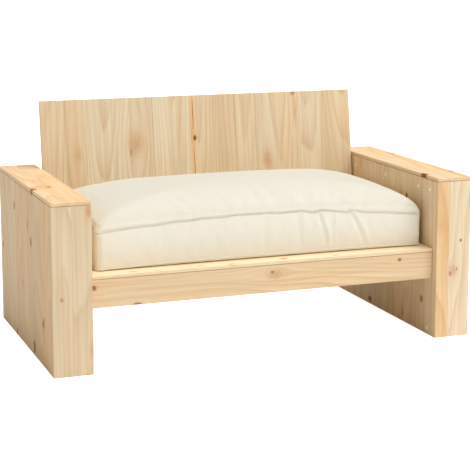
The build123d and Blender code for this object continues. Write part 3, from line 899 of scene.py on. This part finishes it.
def tube(name, line, way, half_out, half_up, sides=10):
    """A closed tube round the cushion: an ellipse in the plane of the outward direction and
    up, carried along the line."""
    angle = np.linspace(0, 2 * pi, sides, endpoint=False)
    outward = np.column_stack([way, np.zeros(len(way))])
    rings = (line[:, None, :]
             + outward[:, None, :] * (half_out * np.cos(angle))[None, :, None]
             + np.array([0, 0, 1.0])[None, None, :] * (half_up * np.sin(angle))[None, :, None])
    faces = grid_faces(len(line), sides, closed_rows=True)
    return new_mesh(name, rings.reshape(-1, 3), faces)


def make_seams():
    """The rolled seams: the sewn edge of the cover, turned into a slim lip."""
    seams = []
    for kind, half_out, half_up, spread, lift in (
            ("top", 1.5 * MM, 0.9 * MM, -1.6 * MM, 0.5 * MM),
            ("bottom", 2.2 * MM, 1.6 * MM, 0.2 * MM, 0.0)):
        line, way = seam_line(kind, 700, spread=spread)
        if kind == "top":
            line += corner_ears(line)
        line[:, 2] += lift
        seams.append(tube(f"cushion_{kind}_seam", line, way, half_out, half_up))
    return seams


THREAD_PITCH = 0.9 * MM
CROWN_SHADE = 0.835     # painted shade: the cloth's colour on faces that look up is scaled by this, darker than the cloth itself
COIL_PITCH = 1.8 * MM
COIL_HALF = 2.4 * MM


def cushion_fabric():
    """Ivory close-woven cloth: crossing threads in the bump, a soft unevenness in colour,
    a faint sheen, and painted shade that darkens the faces that look up."""
    material, w, shader = new_material("ivory_cloth")
    place = w.node("ShaderNodeTexCoord").outputs["Object"]
    slub = w.noise(place, 1.0, 2.0, 0.6, stretch=(180.0, 900.0, 900.0))
    mottle = w.noise(place, 6.0, 3.0, 0.5)
    colour = w.mix(mottle, srgb(243, 237, 219), srgb(247, 242, 226))
    colour = w.mix(w.math("MULTIPLY", slub, 0.25), colour, srgb(232, 224, 203))
    # painted shade: the cloth's colour is darkened on faces that look up
    up = w.split(w.node("ShaderNodeNewGeometry").outputs["Normal"])[2]
    painted_crown_shade = w.smooth(up, 0.1, 0.62, 1.0, CROWN_SHADE)
    w.feed(shader["Base Color"], w.scaled(colour, painted_crown_shade))
    shader["Roughness"].default_value = 0.85
    shader["Specular IOR Level"].default_value = 0.2
    shader["Sheen Weight"].default_value = 0.25
    shader["Sheen Roughness"].default_value = 0.5
    threads = []
    for axis in range(3):
        wave = w.math("SINE", w.math("MULTIPLY", w.split(place)[axis], 2 * pi / THREAD_PITCH))
        threads.append(w.math("MULTIPLY", wave, 0.3))
    weave = w.math("ADD", w.math("ADD", threads[0], threads[1]), threads[2])
    bump = w.node("ShaderNodeBump")
    bump.inputs["Strength"].default_value = 0.25
    bump.inputs["Distance"].default_value = 0.15 * MM
    w.feed(bump.inputs["Height"], w.math("ADD", weave, slub))
    w.feed(shader["Normal"], bump.outputs[0])
    return material


def zipper_tape_cloth():
    """Woven tape with a moulded coil along its middle, drawn as teeth across it, with painted shade
    in the gaps between the teeth.
    """
    material, w, shader = new_material("zipper_tape_cloth")
    place = w.node("ShaderNodeTexCoord").outputs["Object"]
    across, _, up = w.split(place)
    above = w.math("ABSOLUTE", w.math("SUBTRACT", up, ZIPPER_MIDDLE.z))
    coil = w.smooth(above, COIL_HALF + 0.2 * MM, COIL_HALF - 0.2 * MM)
    tooth = w.math("SINE", w.math("MULTIPLY", across, 2 * pi / COIL_PITCH))
    tooth = w.math("MULTIPLY_ADD", tooth, 0.5, 0.5)
    thread = w.noise(place, 1.0, 2.0, 0.6, stretch=(900.0, 900.0, 3000.0))
    cloth = w.mix(thread, srgb(226, 217, 194), srgb(240, 233, 214))
    # painted shade: the darker colour between the teeth stands for shade in the coil's gaps
    teeth = w.mix(tooth, srgb(176, 166, 142), srgb(236, 230, 214))
    w.feed(shader["Base Color"], w.mix(coil, cloth, teeth))
    w.feed(shader["Roughness"], w.math("MULTIPLY_ADD", coil, -0.4, 0.85))
    bump = w.node("ShaderNodeBump")
    bump.inputs["Strength"].default_value = 0.6
    bump.inputs["Distance"].default_value = 0.5 * MM
    w.feed(bump.inputs["Height"], w.math("MULTIPLY", coil, tooth))
    w.feed(shader["Normal"], bump.outputs[0])
    return material


def dress_cushion():
    """Put the cover, its seams and its zipper's finishes on the cushion's body."""
    fabric = cushion_fabric()
    cushion = make_cushion()
    cushion.data.materials.clear()
    cushion.data.materials.append(fabric)
    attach(cushion, "cushion")
    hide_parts("cushion_cover", "cushion_filling")
    paint("cushion_zipper_tape", zipper_tape_cloth())
    paint("cushion_zipper_slider", zinc("zipper_metal", srgb(170, 170, 166), 0.3))
    for seam in make_seams():
        seam.data.materials.append(fabric)
        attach(seam, "cushion")


# ---- studio ----------------------------------------------------------------------------
def make_camera():
    """The standing viewer's place: to the left of the open front, looking slightly down."""
    data = bpy.data.cameras.new("camera")
    data.sensor_width = 36.0
    data.lens = 109.32
    data.shift_y = -0.12
    data.clip_end = 200.0
    camera = bpy.data.objects.new("camera", data)
    bpy.context.scene.collection.objects.link(camera)
    camera.location = (-1.2859, -3.4826, 1.0131)
    turn, tilt = 0.35726, 0.16368
    ahead = Vector((sin(turn) * cos(tilt), cos(turn) * cos(tilt), -sin(tilt)))
    camera.rotation_mode = "QUATERNION"
    camera.rotation_quaternion = ahead.to_track_quat("-Z", "Y")
    bpy.context.scene.camera = camera


def area_light(name, place, target, size, watts):
    """A round panel of light that faces a target."""
    data = bpy.data.lights.new(name, "AREA")
    data.shape = "DISK"
    data.size = size
    data.energy = watts
    light = bpy.data.objects.new(name, data)
    light.location = place
    light.rotation_mode = "QUATERNION"
    light.rotation_quaternion = (Vector(target) - Vector(place)).to_track_quat("-Z", "Y")
    bpy.context.scene.collection.objects.link(light)


ROOM = 0.34             # brightness of the even room light
FLOOR_GLOW = 0.88       # the floor's own light as the camera sees it, to thin the shadow
FLOOR_REACH = 60.0
BACKDROP = 0.94         # brightness of the room as the camera sees it
CEILING_LIGHT = 2.75
CEILING_AIM = Vector((0.30, -0.20, 0.93))


def make_studio():
    """A pale floor, a bright even room, a broad light from the ceiling and a soft panel at
    the front right."""
    corners = np.array([[-1, -1, 0], [1, -1, 0], [1, 1, 0], [-1, 1, 0]]) * FLOOR_REACH
    floor = new_mesh("floor", corners, [[0, 1, 2, 3]], smooth=False)
    material, w, shader = new_material("floor_white")
    shader["Base Color"].default_value = (0.93, 0.93, 0.93, 1)
    shader["Roughness"].default_value = 0.9
    shader["Emission Color"].default_value = (1, 1, 1, 1)
    seen = w.node("ShaderNodeLightPath").outputs["Is Camera Ray"]
    w.feed(shader["Emission Strength"], w.math("MULTIPLY", seen, FLOOR_GLOW))
    floor.data.materials.append(material)

    world = bpy.data.worlds.new("studio")
    world.use_nodes = True
    w = Wiring(world.node_tree)
    seen = w.node("ShaderNodeLightPath").outputs["Is Camera Ray"]
    background = world.node_tree.nodes["Background"]
    background.inputs["Color"].default_value = (1, 1, 1, 1)
    w.feed(background.inputs["Strength"], w.math("MULTIPLY_ADD", seen, BACKDROP - ROOM, ROOM))
    bpy.context.scene.world = world
    sun_data = bpy.data.lights.new("ceiling_light", "SUN")
    sun_data.energy = CEILING_LIGHT
    sun_data.angle = radians(50)
    sun = bpy.data.objects.new("ceiling_light", sun_data)
    sun.rotation_mode = "QUATERNION"
    sun.rotation_quaternion = CEILING_AIM.to_track_quat("Z", "Y")
    bpy.context.scene.collection.objects.link(sun)
    area_light("side_panel", (2.6, -2.6, 1.3), (0.3, 0, 0.3), 1.6, 9)
    bpy.context.scene.view_settings.view_transform = "Standard"


paint_boards()
paint_fittings()
dress_cushion()
make_camera()
make_studio()
